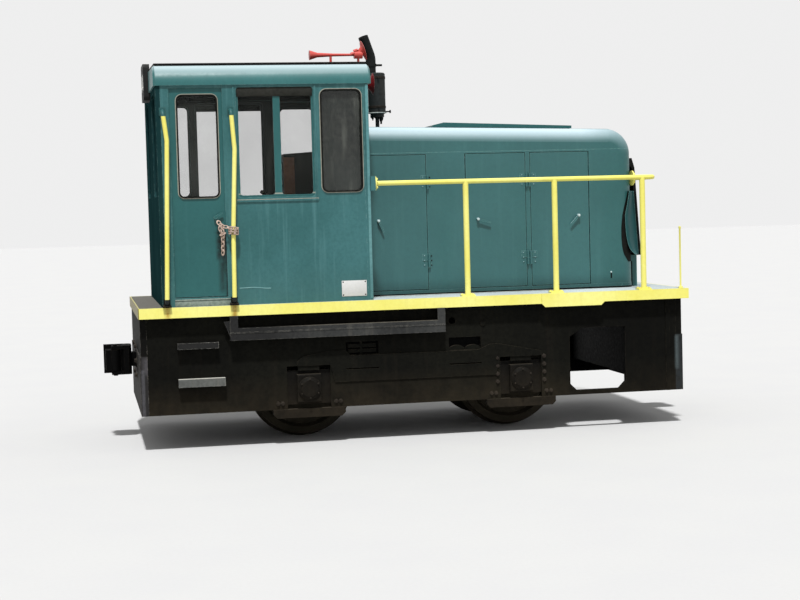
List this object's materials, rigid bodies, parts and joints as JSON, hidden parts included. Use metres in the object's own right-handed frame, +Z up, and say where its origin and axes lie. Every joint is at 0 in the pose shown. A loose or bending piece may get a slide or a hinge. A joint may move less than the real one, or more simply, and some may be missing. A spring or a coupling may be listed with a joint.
{
  "type": "diesel locomotive",
  "caption": "Four-wheeled narrow-gauge diesel switching locomotive with a low hood, a rear cab, outside frame plates, handrails, opening hood and cab doors and swinging coupler knuckles.",
  "frame": {"origin": "under the middle of the frame, on the centreline, level with the lowest point of the wheel flanges", "axes": "+X towards the front (hood end), +Y to the left side, +Z up"},
  "size_m": [5.428, 2.208, 3.6172],
  "materials": {
    "teal_paint": "faded teal-green enamel",
    "yellow_paint": "bright yellow enamel",
    "frame_black": "old black paint with brown dust low down",
    "deck_grey": "worn pale grey steel plate",
    "worn_grey": "worn grey paint over bare steel",
    "wheel_steel": "rusty rolled steel with a worn bright tread",
    "engine_grey": "dull grey engine paint",
    "soot_black": "matt heat-proof black with soot",
    "horn_red": "glossy red enamel",
    "window_glass": "clear, dusty",
    "sash_metal": "teal enamel on the sash bars",
    "seat_vinyl": "worn black vinyl",
    "lamp_black": "black enamel lamp housing",
    "grille_black": "black enamel radiator guard"
  },
  "bodies": {
    "frame": {"axle_boxes": "frame_black", "binder_bars": "frame_black", "brake_gear": "frame_black", "cab_floor": "deck_grey", "cab_glass": "window_glass", "cab_roof": "teal_paint", "cab_wall_front": "teal_paint", "cab_wall_left": "teal_paint", "cab_wall_rear": "teal_paint", "cab_wall_right": "teal_paint", "control_stand": "engine_grey", "coupler_front": "frame_black", "coupler_rear": "frame_black", "deck_edge": "yellow_paint", "deck_plate": "deck_grey", "draft_pockets": "frame_black", "end_plate_front": "frame_black", "end_plate_rear": "frame_black", "engine_block": "engine_grey", "exhaust_pipe": "soot_black", "foot_steps": "worn_grey", "frame_plate_left": "frame_black", "frame_plate_right": "frame_black", "frame_stretchers": "frame_black", "grab_rails": "yellow_paint", "handrail_left": "yellow_paint", "handrail_right": "yellow_paint", "headlight_front": "lamp_black", "headlight_rear": "lamp_black", "hood_cover": "teal_paint", "hood_sides": "teal_paint", "hood_vent": "teal_paint", "muffler": "soot_black", "radiator_core": "engine_grey", "radiator_grille": "grille_black", "roof_horn": "horn_red", "seat_cushion": "seat_vinyl", "seat_pedestal": "frame_black", "side_channels": "worn_grey", "traction_motor": "engine_grey", "window_sashes": "sash_metal"},
    "wheelset_rear": {"wheelset_rear": "wheel_steel"},
    "wheelset_front": {"wheelset_front": "wheel_steel"},
    "cab_door_right": {"cab_door_glass_right": "window_glass", "cab_door_right": "teal_paint"},
    "cab_door_left": {"cab_door_glass_left": "window_glass", "cab_door_left": "teal_paint"},
    "knuckle_front": {"knuckle_front": "frame_black"},
    "knuckle_rear": {"knuckle_rear": "frame_black"},
    "hood_door_a_right": {"hood_door_a_right": "teal_paint"},
    "hood_door_a_left": {"hood_door_a_left": "teal_paint"},
    "hood_door_b_right": {"hood_door_b_right": "teal_paint"},
    "hood_door_b_left": {"hood_door_b_left": "teal_paint"},
    "hood_door_c_right": {"hood_door_c_right": "teal_paint"},
    "hood_door_c_left": {"hood_door_c_left": "teal_paint"}
  },
  "joints": [
    {"name": "wheelset_rear_roll", "type": "hinge", "parent": "frame", "child": "wheelset_rear", "pos_m": [-1.007, 0, 0.485], "axis": [0, 1, 0], "continuous": true},
    {"name": "wheelset_front_roll", "type": "hinge", "parent": "frame", "child": "wheelset_front", "pos_m": [0.893, 0, 0.485], "axis": [0, 1, 0], "continuous": true},
    {"name": "hood_door_a_right_hinge", "type": "hinge", "parent": "frame", "child": "hood_door_a_right", "pos_m": [0.179, -0.562, 1.9], "axis": [0, 0, 1], "range_deg": [0, 50]},
    {"name": "hood_door_a_left_hinge", "type": "hinge", "parent": "frame", "child": "hood_door_a_left", "pos_m": [0.179, 0.562, 1.9], "axis": [0, 0, -1], "range_deg": [0, 50]},
    {"name": "hood_door_b_right_hinge", "type": "hinge", "parent": "frame", "child": "hood_door_b_right", "pos_m": [1.104, -0.562, 1.9], "axis": [0, 0, 1], "range_deg": [0, 49]},
    {"name": "hood_door_b_left_hinge", "type": "hinge", "parent": "frame", "child": "hood_door_b_left", "pos_m": [1.104, 0.562, 1.9], "axis": [0, 0, -1], "range_deg": [0, 49]},
    {"name": "hood_door_c_right_hinge", "type": "hinge", "parent": "frame", "child": "hood_door_c_right", "pos_m": [1.132, -0.562, 1.9], "axis": [0, 0, -1], "range_deg": [0, 50]},
    {"name": "hood_door_c_left_hinge", "type": "hinge", "parent": "frame", "child": "hood_door_c_left", "pos_m": [1.132, 0.562, 1.9], "axis": [0, 0, 1], "range_deg": [0, 50]},
    {"name": "cab_door_right_hinge", "type": "hinge", "parent": "frame", "child": "cab_door_right", "pos_m": [-2.13, -0.959, 2.2], "axis": [0, 0, 1], "range_deg": [0, 85]},
    {"name": "cab_door_left_hinge", "type": "hinge", "parent": "frame", "child": "cab_door_left", "pos_m": [-0.542, 0.959, 2.2], "axis": [0, 0, 1], "range_deg": [0, 85]},
    {"name": "knuckle_front_hinge", "type": "hinge", "parent": "frame", "child": "knuckle_front", "pos_m": [2.598, 0.075, 0.718], "axis": [0, 0, 1], "range_deg": [0, 45]},
    {"name": "knuckle_rear_hinge", "type": "hinge", "parent": "frame", "child": "knuckle_rear", "pos_m": [-2.63, -0.075, 0.718], "axis": [0, 0, 1], "range_deg": [0, 45]}
  ]
}
